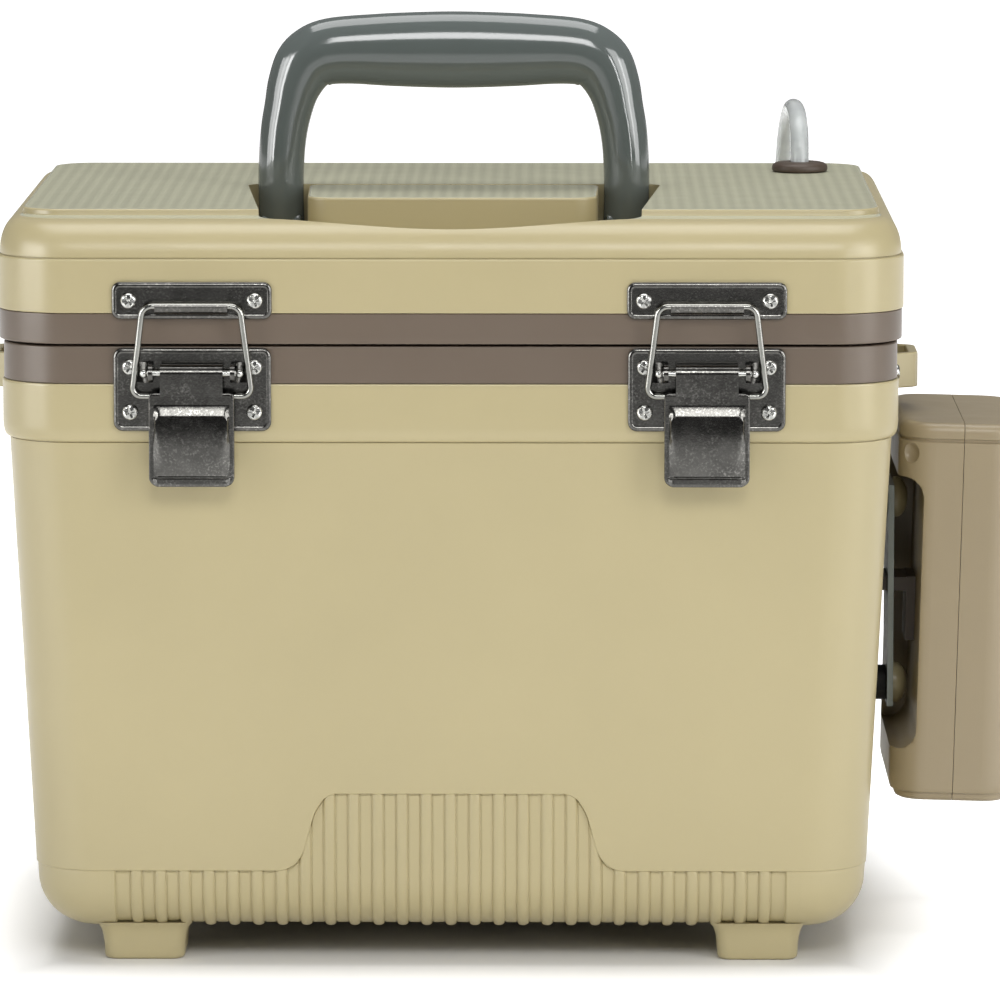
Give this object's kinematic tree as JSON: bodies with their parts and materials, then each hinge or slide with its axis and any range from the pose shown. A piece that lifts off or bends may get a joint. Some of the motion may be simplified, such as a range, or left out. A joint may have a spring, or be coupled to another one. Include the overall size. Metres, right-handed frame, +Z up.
{
  "type": "aerated bait bucket",
  "caption": "Insulated live-bait box with a hinged latching lid, a fold-down carry handle and a side-hung air pump whose hose runs through the lid.",
  "frame": {"origin": "centre of the tub's footprint, on the floor that the feet stand on", "axes": "+Z up, -Y out of the front with the latches, +X towards the pump"},
  "size_m": [0.3543, 0.2422, 0.3126],
  "materials": {
    "tan_plastic": "moulded plastic, satin, fine texture on the lid",
    "brown_plastic": "moulded plastic, satin",
    "insulation_foam": "rigid foam, open where cut",
    "stainless": "bright stainless steel",
    "dark_nickel": "dark nickel plated steel",
    "black_rubber": "matte moulded rubber",
    "pump_plastic": "moulded plastic, satin, khaki brown",
    "grommet_rubber": "matte moulded rubber, brown",
    "slate_plastic": "glossy moulded plastic, slate grey",
    "clear_tube": "clear soft tubing",
    "air_stone": "porous bonded grit",
    "cell_wrap": "shrink wrapped cells",
    "motor_steel": "plated steel can",
    "circuit_board": "green laminate"
  },
  "bodies": {
    "tub": {"tub_shell": "tan_plastic", "tub_liner": "brown_plastic", "tub_insulation": "insulation_foam", "strap_lug_left": "tan_plastic", "strap_lug_right": "tan_plastic", "lug_rivets": "stainless", "hinge_leaf_tub_left": "stainless", "hinge_leaf_tub_right": "stainless", "hinge_pin_left": "stainless", "hinge_pin_right": "stainless", "hinge_screws_tub": "stainless", "latch_base_left": "dark_nickel", "latch_base_right": "dark_nickel", "latch_base_screws": "dark_nickel", "latch_pin_left": "dark_nickel", "latch_pin_right": "dark_nickel", "aerator_bracket": "stainless", "bracket_spacers": "black_rubber", "bracket_screws": "stainless", "bracket_caps": "tan_plastic", "pump_case_inner": "pump_plastic", "pump_case_outer": "pump_plastic", "pump_battery": "cell_wrap", "pump_motor": "motor_steel", "pump_diaphragm": "black_rubber", "pump_board": "circuit_board", "pump_nozzle": "black_rubber", "pump_clip": "black_rubber", "pump_screws": "stainless", "air_hose": "clear_tube", "air_hose_inner": "clear_tube", "air_stone": "air_stone"},
    "lid": {"lid_shell": "tan_plastic", "lid_liner": "brown_plastic", "lid_insulation": "insulation_foam", "lid_gasket": "black_rubber", "hose_grommet": "grommet_rubber", "hinge_leaf_lid_left": "stainless", "hinge_leaf_lid_right": "stainless", "hinge_screws_lid": "stainless", "latch_keeper_left": "dark_nickel", "latch_keeper_right": "dark_nickel", "keeper_screws": "dark_nickel", "handle_pins": "stainless"},
    "handle": {"handle": "slate_plastic"},
    "lever_left": {"latch_lever_left": "dark_nickel"},
    "lever_right": {"latch_lever_right": "dark_nickel"},
    "bail_left": {"latch_bail_left": "stainless"},
    "bail_right": {"latch_bail_right": "stainless"},
    "button": {"pump_button": "black_rubber"},
    "port_cover": {"port_cover": "black_rubber"}
  },
  "joints": [
    {"name": "lid_hinge", "type": "hinge", "parent": "tub", "child": "lid", "pos_m": [0, 0.112, 0.2095], "axis": [-1, 0, 0], "range_deg": [0, 100], "deforming": ["air_hose", "air_hose_inner"]},
    {"name": "handle_swing", "type": "hinge", "parent": "lid", "child": "handle", "pos_m": [0, -0.005, 0.238], "axis": [1, 0, 0], "range_deg": [0, 88]},
    {"name": "lever_left_swing", "type": "hinge", "parent": "tub", "child": "lever_left", "pos_m": [-0.0845, -0.1128, 0.2007], "axis": [-1, 0, 0], "range_deg": [0, 120]},
    {"name": "bail_left_swing", "type": "hinge", "parent": "lever_left", "child": "bail_left", "pos_m": [-0.0845, -0.1117, 0.1931], "axis": [-1, 0, 0], "range_deg": [-150, 0]},
    {"name": "lever_right_swing", "type": "hinge", "parent": "tub", "child": "lever_right", "pos_m": [0.0845, -0.1128, 0.2007], "axis": [-1, 0, 0], "range_deg": [0, 120]},
    {"name": "bail_right_swing", "type": "hinge", "parent": "lever_right", "child": "bail_right", "pos_m": [0.0845, -0.1117, 0.1931], "axis": [-1, 0, 0], "range_deg": [-150, 0]},
    {"name": "button_press", "type": "slide", "parent": "tub", "child": "button", "axis": [-0.9997, 0, 0.0262], "range_m": [0, 0.0015], "stiffness_N_per_m": 600},
    {"name": "port_cover_swing", "type": "hinge", "parent": "tub", "child": "port_cover", "pos_m": [0.19304, 0, 0.07817], "axis": [0, -1, 0], "range_deg": [0, 110]}
  ],
  "couplings": [
    {"joint": "lever_left_swing", "follows": "lid_hinge", "ratio": 1.2},
    {"joint": "bail_left_swing", "follows": "lid_hinge", "ratio": -1.5},
    {"joint": "lever_right_swing", "follows": "lid_hinge", "ratio": 1.2},
    {"joint": "bail_right_swing", "follows": "lid_hinge", "ratio": -1.5}
  ]
}
